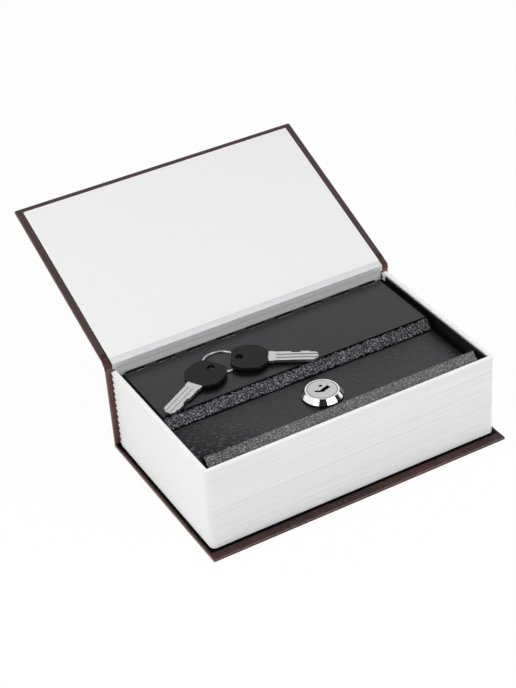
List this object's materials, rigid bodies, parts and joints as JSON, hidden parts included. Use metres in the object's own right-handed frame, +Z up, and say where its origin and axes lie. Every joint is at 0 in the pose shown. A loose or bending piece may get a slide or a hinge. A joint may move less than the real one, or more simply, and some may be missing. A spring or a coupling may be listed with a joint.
{
  "type": "book diversion safe",
  "caption": "Hardback book case around a hollow block of dummy pages that holds a steel tray with a hinged, cam-locked steel lid, shown with the cover open.",
  "frame": {"origin": "on the underside of the back cover, below the middle of the block of pages; Z = 0 is the face it rests on", "axes": "+X along the long side of the closed book, +Y from the fore-edge to the spine and out over the open cover, +Z up"},
  "size_m": [0.18, 0.2211, 0.1005],
  "materials": {
    "leatherette": "embossed dark brown leatherette",
    "grey_board": "raw grey board",
    "white_paper": "smooth white endpaper",
    "page_plastic": "moulded off-white with page lines",
    "black_paint": "black powder coat",
    "grey_paint": "fine textured dark grey powder coat",
    "zinc_steel": "zinc plated",
    "chrome_plate": "polished",
    "nickel_plate": "satin nickel",
    "wafer_brass": "stamped",
    "key_plastic": "moulded black"
  },
  "bodies": {
    "case": {"page_block": "page_plastic", "case_cloth": "leatherette", "back_board": "grey_board", "spine_board": "grey_board", "back_endpaper": "white_paper", "spine_lining": "white_paper", "joint_cloth": "leatherette", "joint_lining": "white_paper", "steel_tray": "black_paint", "strike_angle": "black_paint", "hinge_pin": "zinc_steel", "tray_rivet_1": "zinc_steel", "tray_rivet_2": "zinc_steel", "tray_rivet_3": "zinc_steel", "tray_rivet_4": "zinc_steel"},
    "cover": {"front_cloth": "leatherette", "front_board": "grey_board", "front_endpaper": "white_paper"},
    "lid": {"lid_plate": "grey_paint", "lock_housing": "chrome_plate", "lock_washer": "zinc_steel", "lock_nut": "zinc_steel"},
    "plug": {"lock_plug": "nickel_plate", "cam": "zinc_steel", "cam_screw": "zinc_steel", "wafer_spring_1": "zinc_steel", "wafer_spring_2": "zinc_steel", "wafer_spring_3": "zinc_steel", "wafer_spring_4": "zinc_steel"},
    "first_wafer": {"wafer_1": "wafer_brass"},
    "second_wafer": {"wafer_2": "wafer_brass"},
    "third_wafer": {"wafer_3": "wafer_brass"},
    "fourth_wafer": {"wafer_4": "wafer_brass"},
    "keys": {"key_1_head": "key_plastic", "key_1_blade": "nickel_plate", "key_2_head": "key_plastic", "key_2_blade": "nickel_plate", "split_ring": "nickel_plate"}
  },
  "joints": [
    {"name": "cover_hinge", "type": "hinge", "parent": "case", "child": "cover", "pos_m": [0, 0.0551, 0.05425], "axis": [-1, 0, 0], "range_deg": [-157.06, 22.94], "deforming": ["joint_cloth", "joint_lining"]},
    {"name": "lid_hinge", "type": "hinge", "parent": "case", "child": "lid", "pos_m": [0, 0.0512, 0.0471], "axis": [-1, 0, 0], "range_deg": [0, 90]},
    {"name": "lock_turn", "type": "hinge", "parent": "lid", "child": "plug", "pos_m": [0, -0.0206, 0.0436], "axis": [0, 0, -1], "range_deg": [0, 90]},
    {"name": "wafer_1_slide", "type": "slide", "parent": "plug", "child": "first_wafer", "axis": [1, 0, 0], "range_m": [0, 0.0005], "stiffness_N_per_m": 20, "deforming": ["wafer_spring_1"]},
    {"name": "wafer_2_slide", "type": "slide", "parent": "plug", "child": "second_wafer", "axis": [1, 0, 0], "range_m": [0, 0.0005], "stiffness_N_per_m": 20, "deforming": ["wafer_spring_2"]},
    {"name": "wafer_3_slide", "type": "slide", "parent": "plug", "child": "third_wafer", "axis": [1, 0, 0], "range_m": [0, 0.0005], "stiffness_N_per_m": 20, "deforming": ["wafer_spring_3"]},
    {"name": "wafer_4_slide", "type": "slide", "parent": "plug", "child": "fourth_wafer", "axis": [1, 0, 0], "range_m": [0, 0.0005], "stiffness_N_per_m": 20, "deforming": ["wafer_spring_4"]},
    {"name": "key_lift", "type": "slide", "parent": "lid", "child": "keys", "axis": [0, 0, 1], "range_m": [0, 0.02]}
  ]
}
